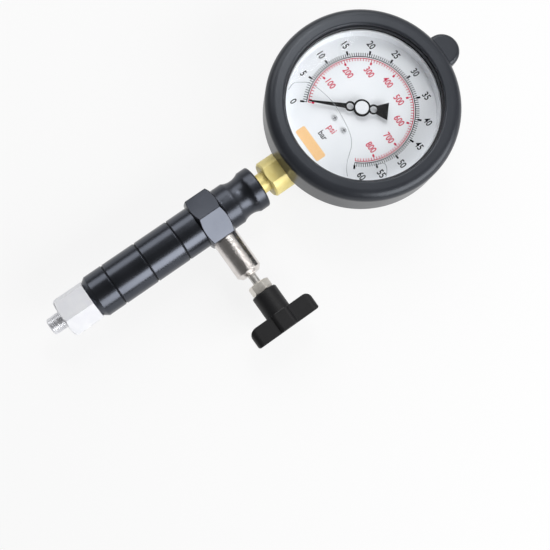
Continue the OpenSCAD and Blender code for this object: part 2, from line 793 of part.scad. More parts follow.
module end_adapter() {
  bevel = 0.8;
  nipple_r = nipple_d / 2;
  color([0.82, 0.83, 0.85]) difference() {
    union() {
      along_handle(handle_end) rotate([0, 0, adapter_turn])
        hex_bar(adapter_af, adapter_hex_len, false, true);
      along_handle(port_floor + 0.5) cylinder(r = adapter_shank_r, h = handle_end - port_floor);
      along_handle(adapter_end - 1) cylinder(r = nipple_r, h = nipple_len + 1 - bevel);
      along_handle(nipple_tip - bevel) cylinder(r1 = nipple_r, r2 = nipple_r - bevel, h = bevel);
    }
    along_handle(port_floor) cylinder(r = chamber_r, h = poppet_seat - port_floor);
    along_handle(poppet_seat - 1) cylinder(r = 2, h = nipple_tip - poppet_seat + 2);
  }
}

module adapter_seal() {
  color([0.7, 0.42, 0.25]) along_handle(handle_end - body_seal_t)
    ring(adapter_seal_r, adapter_shank_r + seat_play, body_seal_t);
}

module check_poppet() {
  color([0.78, 0.66, 0.34]) difference() {
    along_handle(poppet_seat - poppet_len) cylinder(r = chamber_r - run_play, h = poppet_len);
    for (a = [0 : 120 : 240]) along_handle(poppet_seat - poppet_len - 1) rotate([0, 0, a])
      translate([chamber_r - 0.75, -3, 0]) cube([3, 6, poppet_len + 2]);
  }
}

// Coil spring of round wire, drawn along local Z
module coil(r, wire, turns, len) {
  sides = 8;
  steps = turns * 16;
  lean = atan2(len, 2 * PI * r * turns);
  pts = [for (i = [0 : steps], j = [0 : sides - 1])
    let (a = 360 * turns * i / steps, b = 360 * j / sides, out = wire * cos(b), up = wire * sin(b))
    [(r + out) * cos(a) + up * sin(lean) * sin(a), (r + out) * sin(a) - up * sin(lean) * cos(a),
      len * i / steps + up * cos(lean)]];
  walls = [for (i = [0 : steps - 1], j = [0 : sides - 1])
    let (k = (j + 1) % sides, c = i * sides, d = c + sides)
    each [[c + j, d + j, c + k], [c + k, d + j, d + k]]];
  near_end = [for (j = [0 : sides - 1]) j];
  far_end = [for (j = [sides - 1 : -1 : 0]) steps * sides + j];
  polyhedron(points = pts, faces = concat([near_end, far_end], walls));
}

module check_spring() {
  rest = wire_r + 0.05;
  color([0.65, 0.65, 0.67]) along_handle(port_floor + rest)
    coil(spring_r, wire_r, spring_turns, spring_len - 2 * rest);
}

module valve_body() {
  bevel = 2.6;
  color([0.75, 0.73, 0.7]) difference() {
    union() {
      along_valve(hex_face) cylinder(r = barrel_r, h = barrel_end - hex_face - bevel);
      along_valve(barrel_end - bevel) cylinder(r1 = barrel_r, r2 = barrel_r - bevel, h = bevel);
      along_valve(body_foot) cylinder(r = valve_shank_r, h = hex_face - body_foot + 1);
    }
    along_valve(0) cylinder(r = valve_stem_r + run_play, h = barrel_end + 5);
    along_valve(0) cylinder(r = screw_r + run_play, h = screw_end + 2);
    along_valve(0) cylinder(r = screw_r + 0.6, h = body_foot + 6);
    along_valve(gland_at) cylinder(r = valve_stem_r + 1.5, h = gland_h);
  }
}

module valve_body_seal() {
  color([0.12, 0.12, 0.12]) along_valve(valve_floor)
    ring(valve_shank_r - 0.05, screw_r + 0.9, body_seal_t);
}

module stem_seal() {
  color([0.12, 0.12, 0.12]) along_valve(gland_at)
    ring(valve_stem_r + 1.45, valve_stem_r + run_play, gland_h);
}

module seat_disc() {
  color([0.92, 0.9, 0.85]) along_valve(valve_floor) cylinder(r = screw_r - 0.3, h = disc_t);
}

module valve_stem() {
  color([0.62, 0.62, 0.64]) {
    along_valve(screw_start) cylinder(r = screw_r, h = screw_end - screw_start);
    along_valve(screw_end - 1) cylinder(r = valve_stem_r, h = stem_tip_at - screw_end + 1);
  }
}

module jam_nut() {
  color([0.62, 0.58, 0.52]) difference() {
    along_valve(nut_start) rotate([0, 0, nut_turn]) hex_bar(nut_af, nut_t, true, true);
    along_valve(nut_start - 1) cylinder(r = valve_stem_r + seat_play, h = nut_t + 2);
  }
}

// T bar with rounded ends and a thicker middle, centred on the valve axis
module t_bar() {
  linear_extrude(bar_h - 0.3) round_rect(bar_mid_len, bar_mid_t, 3);
  intersection() {
    translate([0, 0, bar_h / 2]) rotate([90, 0, 0]) linear_extrude(bar_t, center = true)
      {
        round_rect(bar_len, bar_h, bar_near_r);
        translate([0, bar_h / 4]) round_rect(bar_len, bar_h / 2, bar_far_r);
      }
    linear_extrude(bar_h) round_rect(bar_len, bar_t, 4.2);
  }
}

module t_knob() {
  edge = 0.8;
  color([0.06, 0.06, 0.07]) difference() {
    union() {
      along_valve(nut_end) cylinder(r1 = knob_hub_d / 2 - edge, r2 = knob_hub_d / 2, h = edge);
      along_valve(nut_end + edge) cylinder(r = knob_hub_d / 2, h = knob_hub_len - edge);
      along_valve(hub_end) t_bar();
    }
    along_valve(nut_end - 1) cylinder(r = valve_stem_r + seat_play, h = stem_tip_at - nut_end + 1.5);
  }
}

rubber_boot();
gauge_case();
bezel_ring();
window();
window_gasket();
blowout_plug();
dial_plate();
dial_screws();
spacer_ring();
pointer();
pointer_bush();
pinion_shaft();
hairspring();
movement_back_plate();
movement_front_plate();
movement_pillars();
movement_screws();
sector_gear();
sector_arbor();
tail_pin();
link_bar();
tip_pin();
bourdon_tube();
tube_tip();
gauge_socket();
socket_screws();
socket_seal();
handle();
end_adapter();
adapter_seal();
check_poppet();
check_spring();
valve_body();
valve_body_seal();
stem_seal();
seat_disc();
valve_stem();
jam_nut();
t_knob();
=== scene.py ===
# %% [markdown]
# A compression tester is screwed to an engine, and its dial shows the pressure that the piston
# makes. This lesson dresses the finished solids of such a tester: it gives every piece its finish,
# prints the dial, winds the one thread that shows and sets up a small white studio.
# The solids arrive as a fixed frame in metres, so nothing here moves or reshapes them.

# %% Load the solids
import json
import math

import bmesh
import bpy
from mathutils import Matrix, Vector

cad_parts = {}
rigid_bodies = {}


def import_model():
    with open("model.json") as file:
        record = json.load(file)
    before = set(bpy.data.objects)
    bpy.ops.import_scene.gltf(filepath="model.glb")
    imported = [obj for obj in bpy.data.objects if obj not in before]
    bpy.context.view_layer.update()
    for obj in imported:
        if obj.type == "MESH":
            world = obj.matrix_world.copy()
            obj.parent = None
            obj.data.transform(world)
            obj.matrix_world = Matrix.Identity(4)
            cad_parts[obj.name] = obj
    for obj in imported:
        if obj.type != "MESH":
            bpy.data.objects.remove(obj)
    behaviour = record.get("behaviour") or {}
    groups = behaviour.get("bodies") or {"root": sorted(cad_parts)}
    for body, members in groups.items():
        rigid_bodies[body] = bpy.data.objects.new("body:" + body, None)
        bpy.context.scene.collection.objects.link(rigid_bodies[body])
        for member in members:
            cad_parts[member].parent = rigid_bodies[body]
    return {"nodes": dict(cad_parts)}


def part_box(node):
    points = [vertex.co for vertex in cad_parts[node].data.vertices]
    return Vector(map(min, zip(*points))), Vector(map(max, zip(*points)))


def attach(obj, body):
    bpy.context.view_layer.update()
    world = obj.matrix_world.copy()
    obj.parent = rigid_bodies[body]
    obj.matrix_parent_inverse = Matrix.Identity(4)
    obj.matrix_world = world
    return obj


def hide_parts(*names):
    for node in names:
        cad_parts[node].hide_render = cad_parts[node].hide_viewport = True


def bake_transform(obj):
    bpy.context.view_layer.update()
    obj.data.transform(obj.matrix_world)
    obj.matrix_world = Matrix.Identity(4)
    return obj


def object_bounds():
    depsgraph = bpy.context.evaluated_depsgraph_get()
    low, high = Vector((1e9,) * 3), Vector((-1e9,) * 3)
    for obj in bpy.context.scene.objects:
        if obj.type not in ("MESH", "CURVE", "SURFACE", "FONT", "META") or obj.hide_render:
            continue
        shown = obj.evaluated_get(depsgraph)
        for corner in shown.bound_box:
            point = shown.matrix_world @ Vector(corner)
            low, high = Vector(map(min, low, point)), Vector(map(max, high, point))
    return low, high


for leftover in list(bpy.data.objects):
    bpy.data.objects.remove(leftover)
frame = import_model()
nodes = frame["nodes"]
cad_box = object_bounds()
MM = 0.001


def in_mm(box):
    """The corners of a box in millimetres, for printing."""
    return [[round(x / MM, 1) for x in corner] for corner in box]


print("solids:", len(nodes), "box in mm:", in_mm(cad_box))

# %% [markdown]
# A finish is a tree of shader nodes. Wiring nodes one by one is slow to read, so one small class
# stands for a node's output: a sum or product of two of them adds the Math node by itself, and one
# method makes any other node from its type, its settings and what goes into its sockets.

# %% A wire that can be reckoned with
class Wire:
    """An output of a shader node, used like a number in Python sums."""

    def __init__(self, tree, socket=None):
        self.tree = tree
        self.socket = socket

    def node(self, kind, settings=None, sockets=None, out=0):
        """Adds a node: its settings are set first, then its sockets get values or wires."""
        made = self.tree.nodes.new(kind)
        for key, value in (settings or {}).items():
            if key == "stops":
                fill_ramp(made.color_ramp, value)
            else:
                setattr(made, key, value)
        for key, value in (sockets or {}).items():
            self.feed(made.inputs[key], value)
        return Wire(self.tree, made.outputs[out])

    def feed(self, socket, value):
        """Puts a wire or a plain value into a socket."""
        if isinstance(value, Wire):
            self.tree.links.new(value.socket, socket)
        else:
            socket.default_value = value

    def math(self, operation, a, b=0.0):
        """Adds a Math node."""
        return self.node("ShaderNodeMath", {"operation": operation}, {0: a, 1: b})

    def __add__(self, other):
        return self.math("ADD", self, other)

    def __sub__(self, other):
        return self.math("SUBTRACT", self, other)

    def __rsub__(self, other):
        return self.math("SUBTRACT", other, self)

    def __mul__(self, other):
        return self.math("MULTIPLY", self, other)

    def __pow__(self, other):
        return self.math("POWER", self, other)

    __radd__ = __add__
    __rmul__ = __mul__


def fill_ramp(ramp, stops):
    """Gives a colour ramp its stops, each a place and a grey level."""
    while len(ramp.elements) < len(stops):
        ramp.elements.new(0.5)
    for element, (place, grey) in zip(ramp.elements, stops):
        element.position = place
        element.color = (grey, grey, grey, 1)


# %% [markdown]
# Colours are easiest to name as they look on a screen, from 0 to 255, while the shader reckons with
# light. One function changes the first into the second. A second one starts a finish: it makes the
# material, sets what is the same all over, and hands back a loose wire to build the rest on.

# %% Start a finish
def screen(red, green, blue):
    """The linear colour of a screen colour."""
    parts = [x / 255 for x in (red, green, blue)]
    return tuple(x / 12.92 if x < 0.04045 else ((x + 0.055) / 1.055) ** 2.4 for x in parts) + (1,)


def start_finish(name, **constants):
    """A new material, a loose wire in its tree and a function that feeds its shader."""
    material = bpy.data.materials.new(name)
    material.use_nodes = True
    tree = material.node_tree
    shader = tree.nodes["Principled BSDF"]
    wire = Wire(tree)

    def shade(**sockets):
        for key, value in sockets.items():
            wire.feed(shader.inputs[key.replace("_", " ").title().replace("Ior", "IOR")], value)

    shade(**constants)
    return material, wire, shade


def mix_colours(wire, factor, first, second):
    """A colour between two colours."""
    return wire.node("ShaderNodeMix", {"data_type": "RGBA"},
                     {0: factor, 6: first, 7: second}, out=2)


def mix_directions(wire, factor, first, second):
    """A direction between two directions."""
    return wire.node("ShaderNodeMix", {"data_type": "VECTOR"},
                     {0: factor, 4: first, 5: second}, out=1)


print("black on a screen at 40 is", round(screen(40, 40, 40)[0], 4), "in light")

# %% [markdown]
# Nearly every real finish shares three things: slow blotches, a fine grain, and edges that catch the
# light because nothing real is perfectly sharp. Each gets a helper. The grain can be stretched,
# which turns it into the fine rings that a lathe leaves. A Bevel node rounds the shading at the
# edges, and how far it turns the surface also says where the edges are, so that they can be made
# paler or darker than the rest.

# %% Blotches, grain and edges
BEVEL_SAMPLES = 6


def blotches(wire, size, stretch=(1, 1, 1), detail=3.0, contrast=(0.3, 0.7)):
    """Noise from 0 to 1 whose patches are about size millimetres across."""
    place = wire.node("ShaderNodeTexCoord", out="Object")
    spread = wire.node("ShaderNodeMapping", None, {"Vector": place, "Scale": stretch})
    noise = wire.node("ShaderNodeTexNoise", None,
                      {"Vector": spread, "Scale": 1 / (size * MM), "Detail": detail}, out="Fac")
    stops = [(contrast[0], 0), (contrast[1], 1)]
    return wire.node("ShaderNodeValToRGB", {"stops": stops}, {0: noise})


def soft_edges(wire, radius):
    """The surface direction with edges rounded by radius millimetres."""
    return wire.node("ShaderNodeBevel", {"samples": BEVEL_SAMPLES}, {"Radius": radius * MM})


# Paler edges stand for wear, and the darker edge on the handle's hexagon is painted shade.
def worn_edges(wire, rounded, gain=6.0):
    """A mask of the edges: 1 where the rounded direction leaves the surface's own the most."""
    straight = wire.node("ShaderNodeNewGeometry", out="Normal")
    same = wire.node("ShaderNodeVectorMath", {"operation": "DOT_PRODUCT"},
                     {0: rounded, 1: straight}, out="Value")
    return wire.math("MINIMUM", (1 - same) * gain, 1.0)


def grain(wire, height, depth, strength, normal=None):
    """A bump of depth millimetres."""
    sockets = {"Strength": strength, "Distance": depth * MM, "Height": height}
    if normal is not None:
        sockets["Normal"] = normal
    return wire.node("ShaderNodeBump", None, sockets, out="Normal")


def along_axis(wire):
    """How far along the handle a point lies: 0 at the dial's middle, and less at the adapter."""
    place = wire.node("ShaderNodeTexCoord", out="Object")
    return wire.node("ShaderNodeSeparateXYZ", None, {0: place}, out="X")


def dress(material, *names):
    """Gives CAD solids their finish."""
    for name in names:
        mesh = nodes[name].data
        mesh.materials.clear()
        mesh.materials.append(material)
    print(material.name, "on", ", ".join(names))


# %% [markdown]
# The boot is moulded charcoal rubber. It is neither shiny nor dull: a satin skin with a very fine
# grain, a little paler where hands have rubbed it. The colour stays nearly even, and the roughness
# carries most of the life, because that is what shows when the light slides over the rounded rim.

# %% Boot rubber
RUBBER, RUBBER_HANDLED, RUBBER_WORN = screen(41, 43, 48), screen(47, 49, 54), screen(66, 68, 73)
boot_rubber, wire, shade = start_finish("boot_rubber", specular_ior_level=0.36,
                                        specular_tint=(0.86, 0.92, 1, 1))
handling = blotches(wire, size=22, detail=4)
pores = blotches(wire, size=0.45, detail=2, contrast=(0.2, 0.8))
round_normal = soft_edges(wire, radius=0.8)
worn = worn_edges(wire, round_normal)
rubber = mix_colours(wire, handling * 0.6, RUBBER, RUBBER_HANDLED)
shade(base_color=mix_colours(wire, worn * 0.15, rubber, RUBBER_WORN),
      roughness=0.27 + handling * 0.04 + pores * 0.03,
      normal=grain(wire, pores, depth=0.05, strength=0.25, normal=round_normal))
dress(boot_rubber, "rubber_boot")

# %% [markdown]
# Many finishes need only two close colours in blotches, a roughness that follows the same blotches,
# and sometimes a fine bump. One function makes all of these. The first is for the seals and the
# blow-out plug: plain black rubber, softer and duller than the boot.

# %% Seal rubber
def mottled_finish(name, colours, size, roughness, spread, bump=None,
                   stretch=(1, 1, 1), detail=3.0, **constants):
    """A finish between two screen colours, in blotches that are rougher by spread on the second."""
    material, wire, shade = start_finish(name, **constants)
    patches = blotches(wire, size, stretch, detail)
    shade(base_color=mix_colours(wire, patches, screen(*colours[0]), screen(*colours[1])),
          roughness=roughness + patches * spread)
    if bump:
        depth, strength = bump
        shade(normal=grain(wire, patches, depth, strength))
    return material


seal_rubber = mottled_finish("seal_rubber", [(24, 24, 25), (36, 36, 37)], size=4,
                             roughness=0.62, spread=0.15, bump=(0.03, 0.2),
                             specular_ior_level=0.3)
dress(seal_rubber, "window_gasket", "blowout_plug", "socket_seal", "valve_body_seal", "stem_seal")

# %% [markdown]
# The handle is turned aluminium, anodised black. The lathe's rings run round it, so the noise is
# stretched until it is thin along the handle and long around it. Black anodising is a clear hard
# layer over dyed metal: dark, with long soft highlights. A thin line of painted shade runs along the
# hexagon's corners. The three grooves are dull, and painted darker for the shade that falls in them:
# a zigzag along the handle is low there and marks them. The waist behind the flange is polished into
# soft curves, so its edges are rounded more than the hexagon's, and it is painted a little darker so
# that its highlights come out dimmer.

# %% Black anodised handle
ALONG_HANDLE = (1, 0.02, 0.02)
GROOVE_FIRST, GROOVE_PITCH, GROOVE_WIDTH = 139.6 * MM, 24 * MM, 0.85 * MM
WAIST_END, HEX_END = -105.6 * MM, -125.0 * MM
DEEP_DYE, THIN_DYE, WAIST_PAINTED_SHADE = screen(71, 74, 81), screen(77, 80, 87), screen(50, 52, 57)
CORNER_PAINTED_SHADE, GROOVE_PAINTED_SHADE = screen(8, 8, 9), screen(40, 42, 46)

handle_black, wire, shade = start_finish("handle_black", metallic=1.0)
rings = blotches(wire, size=0.3, stretch=ALONG_HANDLE, contrast=(0.25, 0.75))
depth_of_dye = blotches(wire, size=14)
along = along_axis(wire)
from_groove = wire.math("PINGPONG", along + GROOVE_FIRST, GROOVE_PITCH / 2)
on_grip = wire.math("LESS_THAN", along, GROOVE_PITCH / 2 - GROOVE_FIRST)
# painted shade: the grooves get a darker base colour for the shade inside them
groove = wire.math("LESS_THAN", from_groove, GROOVE_WIDTH / 2) * on_grip
on_waist = wire.math("GREATER_THAN", along, WAIST_END)
on_hexagon = wire.math("GREATER_THAN", along, HEX_END) - on_waist
crisp_normal, waist_normal = soft_edges(wire, radius=0.7), soft_edges(wire, radius=2.4)
# painted shade: a thin near-black line along the hexagon's edges
corner = worn_edges(wire, crisp_normal, gain=50.0) * on_hexagon
dyed = mix_colours(wire, depth_of_dye, DEEP_DYE, THIN_DYE)
# painted shade: the waist is a little darker so that its highlights come out dimmer
shaded = mix_colours(wire, on_waist * 0.3, dyed, WAIST_PAINTED_SHADE)
with_corner_shade = mix_colours(wire, corner, shaded, CORNER_PAINTED_SHADE)
round_normal = mix_directions(wire, on_waist, crisp_normal, waist_normal)
shade(base_color=mix_colours(wire, groove, with_corner_shade, GROOVE_PAINTED_SHADE),
      roughness=0.24 + rings * 0.008 + depth_of_dye * 0.03 + groove * 0.3 + on_waist * 0.05,
      normal=grain(wire, rings, depth=0.012, strength=0.02, normal=round_normal))
dress(handle_black, "handle")

# %% [markdown]
# The bleed valve's barrel is turned and nickel plated. Its fine turning rings run round it and smear
# every reflection along the barrel, so the rings are a bump that is much too fine to be seen singly.

# %% Turned nickel
ALONG_VALVE = (0.02, 1, 0.02)
nickel, wire, shade = start_finish("nickel", metallic=1.0)
rings = blotches(wire, size=0.25, stretch=ALONG_VALVE, contrast=(0.25, 0.75))
breath = blotches(wire, size=5)
round_normal = soft_edges(wire, radius=0.3)
shade(base_color=mix_colours(wire, breath, screen(216, 210, 206), screen(226, 221, 218)),
      roughness=0.16 + breath * 0.04,
      normal=grain(wire, rings, depth=0.07, strength=1.0, normal=round_normal))
dress(nickel, "valve_body")

# %% [markdown]
# The jam nut has the same plating left dull, and shows it as a warmer, paler grey with small stains.

# %% Dull nickel
dull_nickel, wire, shade = start_finish("dull_nickel", metallic=0.7)
stains = blotches(wire, size=2.2, detail=5)
round_normal = soft_edges(wire, radius=0.3)
shade(base_color=mix_colours(wire, stains, screen(228, 223, 214), screen(240, 236, 228)),
      roughness=0.3 + stains * 0.12,
      normal=grain(wire, stains, depth=0.01, strength=0.15, normal=round_normal))
dress(dull_nickel, "jam_nut")

# %% [markdown]
# Small steel pieces: screws, pins, the link, the valve spindle and the check spring. Bright drawn
# steel with a hint of brushing.

# %% Plain steel
small_steel = mottled_finish("small_steel", [(200, 198, 194), (222, 220, 216)], size=0.4,
                             roughness=0.32, spread=0.12, bump=(0.006, 0.15),
                             stretch=(1, 0.2, 0.2), metallic=0.75)
dress(small_steel, "movement_screws", "sector_arbor", "tail_pin", "link_bar", "tip_pin",
      "socket_screws", "check_spring", "valve_stem")

# %% [markdown]
# The end adapter is steel with a bright white zinc plate. Zinc is paler and more matt than nickel,
# with soft grey clouds, and its machined hexagon keeps crisp but not sharp corners. The thread on
# the nipple is cut through the plate and shines like bare metal.

# %% White zinc
NIPPLE_END = -224.3 * MM
ZINC_GREY, ZINC_WHITE, ZINC_WORN = screen(224, 225, 230), screen(230, 231, 234), screen(236, 236, 239)
zinc_steel, wire, shade = start_finish("zinc_steel")
clouds = blotches(wire, size=6, detail=4)
tool_marks = blotches(wire, size=0.3, stretch=(1, 0.05, 0.05))
round_normal = soft_edges(wire, radius=0.35)
worn = worn_edges(wire, round_normal)
nipple = wire.math("LESS_THAN", along_axis(wire), NIPPLE_END)
plate = mix_colours(wire, clouds, ZINC_GREY, ZINC_WHITE)
shade(base_color=mix_colours(wire, worn * 0.4, plate, ZINC_WORN),
      metallic=0.3 + nipple * 0.5,
      roughness=0.44 + clouds * 0.06 + tool_marks * 0.03 - nipple * 0.14,
      normal=grain(wire, tool_marks, depth=0.01, strength=0.1, normal=round_normal))
dress(zinc_steel, "end_adapter")

# %% [markdown]
# The gauge's stem is bright machined brass, yellow with a slight green. Inside the case the movement
# is brass and bronze too, but aged a little browner.

# %% Brass
BRASS, BRASS_TARNISH, BRASS_WORN = screen(234, 219, 147), screen(226, 208, 127), screen(248, 240, 186)
stem_brass, wire, shade = start_finish("stem_brass", metallic=0.35,
                                       coat_weight=0.3, coat_roughness=0.25)
tarnish = blotches(wire, size=5, detail=4)
tool_marks = blotches(wire, size=0.35, stretch=ALONG_HANDLE)
round_normal = soft_edges(wire, radius=0.35)
worn = worn_edges(wire, round_normal)
yellow = mix_colours(wire, tarnish, BRASS, BRASS_TARNISH)
shade(base_color=mix_colours(wire, worn * 0.6, yellow, BRASS_WORN),
      roughness=0.44 + tarnish * 0.08 + tool_marks * 0.03,
      normal=grain(wire, tool_marks, depth=0.012, strength=0.1, normal=round_normal))
dress(stem_brass, "gauge_socket")

movement_brass = mottled_finish("movement_brass", [(206, 170, 96), (182, 142, 74)], size=3,
                                roughness=0.32, spread=0.15, detail=4, metallic=1.0)
dress(movement_brass, "hairspring", "movement_back_plate", "movement_front_plate",
      "movement_pillars", "sector_gear", "bourdon_tube", "tube_tip", "check_poppet")

# %% [markdown]
# The rest of the inside: a copper washer, a nylon seat disc, and the painted steel case and bezel.
# They hardly show, and still each gets its own finish for whoever takes the part to pieces.

# %% Washer, seat, case and bezel
seal_copper = mottled_finish("seal_copper", [(206, 132, 96), (176, 104, 76)], size=3,
                             roughness=0.35, spread=0.15, metallic=1.0)
dress(seal_copper, "adapter_seal")

seat_plastic = mottled_finish("seat_plastic", [(236, 232, 220), (226, 221, 206)], size=1.5,
                              roughness=0.45, spread=0.1, specular_ior_level=0.4)
dress(seat_plastic, "seat_disc")

ORANGE_PEEL = {"size": 0.9, "spread": 0.08, "bump": (0.02, 0.2)}
case_paint = mottled_finish("case_paint", [(26, 26, 28), (34, 34, 36)], roughness=0.34,
                            specular_ior_level=0.5, **ORANGE_PEEL)
dress(case_paint, "gauge_case")

bezel_paint = mottled_finish("bezel_paint", [(40, 42, 47), (47, 49, 54)], roughness=0.44,
                             specular_ior_level=0.4, **ORANGE_PEEL)
dress(bezel_paint, "bezel_ring")

# %% [markdown]
# The T knob is moulded plastic, matt black, with the fine sparkle of a spark-eroded mould. Its
# corners are rubbed a little smoother and so look a little lighter.

# %% Knob plastic
KNOB_BLACK, KNOB_RUBBED, KNOB_WORN = screen(13, 13, 15), screen(19, 19, 21), screen(50, 51, 54)
knob_plastic, wire, shade = start_finish("knob_plastic", specular_ior_level=0.4)
mould = blotches(wire, size=0.5, detail=2, contrast=(0.25, 0.75))
rubbed = blotches(wire, size=9)
round_normal = soft_edges(wire, radius=0.6)
worn = worn_edges(wire, round_normal)
moulded = mix_colours(wire, rubbed, KNOB_BLACK, KNOB_RUBBED)
shade(base_color=mix_colours(wire, worn * 0.4, moulded, KNOB_WORN),
      roughness=0.46 + mould * 0.12 - rubbed * 0.06,
      normal=grain(wire, mould, depth=0.05, strength=0.3, normal=round_normal))
dress(knob_plastic, "t_knob")

# %% [markdown]
# The dial is a steel plate with white enamel, very slightly blue, and the ring that keeps the window
# off it is matt white plastic. The pointer is matt black. The bush that carries it and the shaft's
# end are turned bright, and the dial's two screws are plated.

# %% Dial, ring, pointer and bush
dial_paint = mottled_finish("dial_paint", [(231, 232, 235), (227, 229, 232)], size=16,
                            roughness=0.4, spread=0.1, specular_ior_level=0.4)
dress(dial_paint, "dial_plate")

ring_plastic = mottled_finish("ring_plastic", [(236, 238, 241), (229, 232, 236)], size=2,
                              roughness=0.5, spread=0.1, specular_ior_level=0.3)
dress(ring_plastic, "spacer_ring")

pointer_paint = mottled_finish("pointer_paint", [(11, 11, 12), (17, 17, 18)], size=0.6,
                               roughness=0.5, spread=0.12, specular_ior_level=0.2)
dress(pointer_paint, "pointer")

bush_metal = mottled_finish("bush_metal", [(208, 210, 213), (222, 223, 226)], size=0.5,
                            roughness=0.42, spread=0.1, detail=2, metallic=0.35)
dress(bush_metal, "pointer_bush", "pinion_shaft")

screw_plate = mottled_finish("screw_plate", [(172, 173, 176), (188, 189, 192)], size=0.5,
                             roughness=0.38, spread=0.1, detail=2, metallic=0.5)
dress(screw_plate, "dial_screws")

# %% [markdown]
# The window is a clear flat disc. Real glass bends light, but then lamps could reach the dial only by
# luck, so the window lets light straight through and adds a mirror that grows at low angles.
# A Layer Weight node says how slanting the view is. Its fifth power grows the way glass mirrors do,
# and it feeds the factor of a Mix Shader.

# %% Window
WHITE = (1, 1, 1, 1)
GLASS_TINT = (0.985, 0.99, 0.993, 1)
LOW_MIRROR, STEADY_MIRROR = 0.2, 0.002


def cover(material, wire, surface):
    """Gives a material a surface of its own in place of the usual shader."""
    wire.feed(material.node_tree.nodes["Material Output"].inputs["Surface"], surface)


window_glass, wire, _ = start_finish("window_glass")
clear = wire.node("ShaderNodeBsdfTransparent", None, {"Color": GLASS_TINT})
mirror = wire.node("ShaderNodeBsdfGlossy", None, {"Color": WHITE, "Roughness": 0.03})
low_angle = wire.node("ShaderNodeLayerWeight", None, {"Blend": 0.5}, out="Facing")
share = low_angle ** 5 * LOW_MIRROR + STEADY_MIRROR
cover(window_glass, wire, wire.node("ShaderNodeMixShader", None, {0: share, 1: clear, 2: mirror}))
dress(window_glass, "window")

# %% [markdown]
# The dial's print is thin ink, so it is built as very thin plates that lie on the enamel. Drawing it
# as geometry keeps it crisp in any view. Positions are easiest with the dial upright: across to the
# right and up. In the frame the dial's top is +X and its right is -Y, and one function knows that.
# A gauge's scale is printed to fit how its tube bends, a little wider at the start and closer at the
# end, so a few points give the turn and the rest lies evenly between them.

# %% Dial places
DIAL_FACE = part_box("dial_plate")[1].z
INK_THICK = 0.03 * MM
INK_LIFT = 0.005 * MM
SCALE_POINTS = [(0.0, -137.6), (5 / 60, -112.5), (45 / 60, 67.5), (1.0, 132.8)]


def on_dial(across, up, height=0.0):
    """A point of the upright dial, in millimetres, in the frame."""
    return Vector((up * MM, -across * MM, DIAL_FACE + INK_LIFT + height))


def scale_turn(share):
    """The clockwise turn from upright, in radians, at a share of the scale."""
    for (low, start), (high, end) in zip(SCALE_POINTS, SCALE_POINTS[1:]):
        if share <= high:
            break
    return math.radians(start + (end - start) * (share - low) / (high - low))


def at_turn(radius, turn, aside=0.0):
    """The place at a radius and a turn of the dial, moved aside at right angles to the radius."""
    return (radius * math.sin(turn) + aside * math.cos(turn),
            radius * math.cos(turn) - aside * math.sin(turn))


print("dial face at", round(DIAL_FACE / MM, 2), "mm above the back")

# %% [markdown]
# Every plate of ink is an outline with a top, a bottom and sides. A mesh in the making can take many
# of them, and then becomes one piece that rides on a body of the frame.

# %% Plates and pieces
def add_plate(mesh, outline, base=0.0):
    """Adds a thin plate with a straight-sided outline, given as across and up."""
    low = [mesh.verts.new(on_dial(*point, base)) for point in outline]
    high = [mesh.verts.new(on_dial(*point, base + INK_THICK)) for point in outline]
    mesh.faces.new(high)
    mesh.faces.new(low[::-1])
    for i in range(len(outline)):
        j = (i + 1) % len(outline)
        mesh.faces.new([low[i], low[j], high[j], high[i]])


def join_loops(mesh, loops):
    """Adds a skin over a row of loops, closed at both ends."""
    for near, far in zip(loops, loops[1:]):
        for k in range(len(near)):
            j = (k + 1) % len(near)
            mesh.faces.new([near[k], near[j], far[j], far[k]])
    mesh.faces.new(loops[0][::-1])
    mesh.faces.new(loops[-1])


def new_object(name, data):
    """A new object in the scene."""
    made = bpy.data.objects.new(name, data)
    bpy.context.scene.collection.objects.link(made)
    return made


def add_piece(name, mesh, material, body):
    """Turns a mesh in the making into a piece that rides on a body."""
    bmesh.ops.recalc_face_normals(mesh, faces=mesh.faces)
    data = bpy.data.meshes.new(name)
    mesh.to_mesh(data)
    mesh.free()
    data.materials.append(material)
    piece = new_object(name, data)
    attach(piece, body)
    print(name, "has", len(data.polygons), "faces and rides on", body)


# %% [markdown]
# Printed ink is not perfectly even. Three inks, each with a little variation in how densely it lies.

# %% Inks
def make_ink(name, thick, thin):
    """An ink between its thick and its thin colour."""
    print("ink:", name)
    return mottled_finish(name, [thick, thin], size=0.8, roughness=0.45, spread=0.1, detail=2,
                          specular_ior_level=0.05)


black_ink = make_ink("black_ink", (10, 10, 13), (19, 19, 23))
red_ink = make_ink("red_ink", (192, 2, 54), (202, 20, 70))
orange_ink = make_ink("orange_ink", (238, 190, 132), (242, 204, 156))

# %% [markdown]
# A scale is a ring with ticks, and heavier ticks where the numbers stand. The black one counts bar
# from 0 to 60 and its ticks point outwards. The red one inside it counts psi and points inwards.
# One function draws both from their radii, in millimetres.

# %% Scales
RING_WIDTH, TICK_WIDTH, HEAVY_WIDTH = 0.5, 0.46, 1.2
ARC_STEPS = 180
FULL_BAR = 60.0
PSI_IN_A_BAR = 14.5038
FULL_PSI = FULL_BAR * PSI_IN_A_BAR


def add_arc(mesh, radius, width):
    """Adds a ring segment over the whole scale."""
    inner, outer = radius - width / 2, radius + width / 2
    for i in range(ARC_STEPS):
        a, b = scale_turn(i / ARC_STEPS), scale_turn((i + 1) / ARC_STEPS)
        add_plate(mesh, [at_turn(inner, a), at_turn(outer, a), at_turn(outer, b), at_turn(inner, b)])


def add_tick(mesh, turn, start, end, width):
    """Adds one tick between two radii."""
    half = width / 2
    add_plate(mesh, [at_turn(radius, turn, aside) for radius, aside in
                     ((start, -half), (end, -half), (end, half), (start, half))])


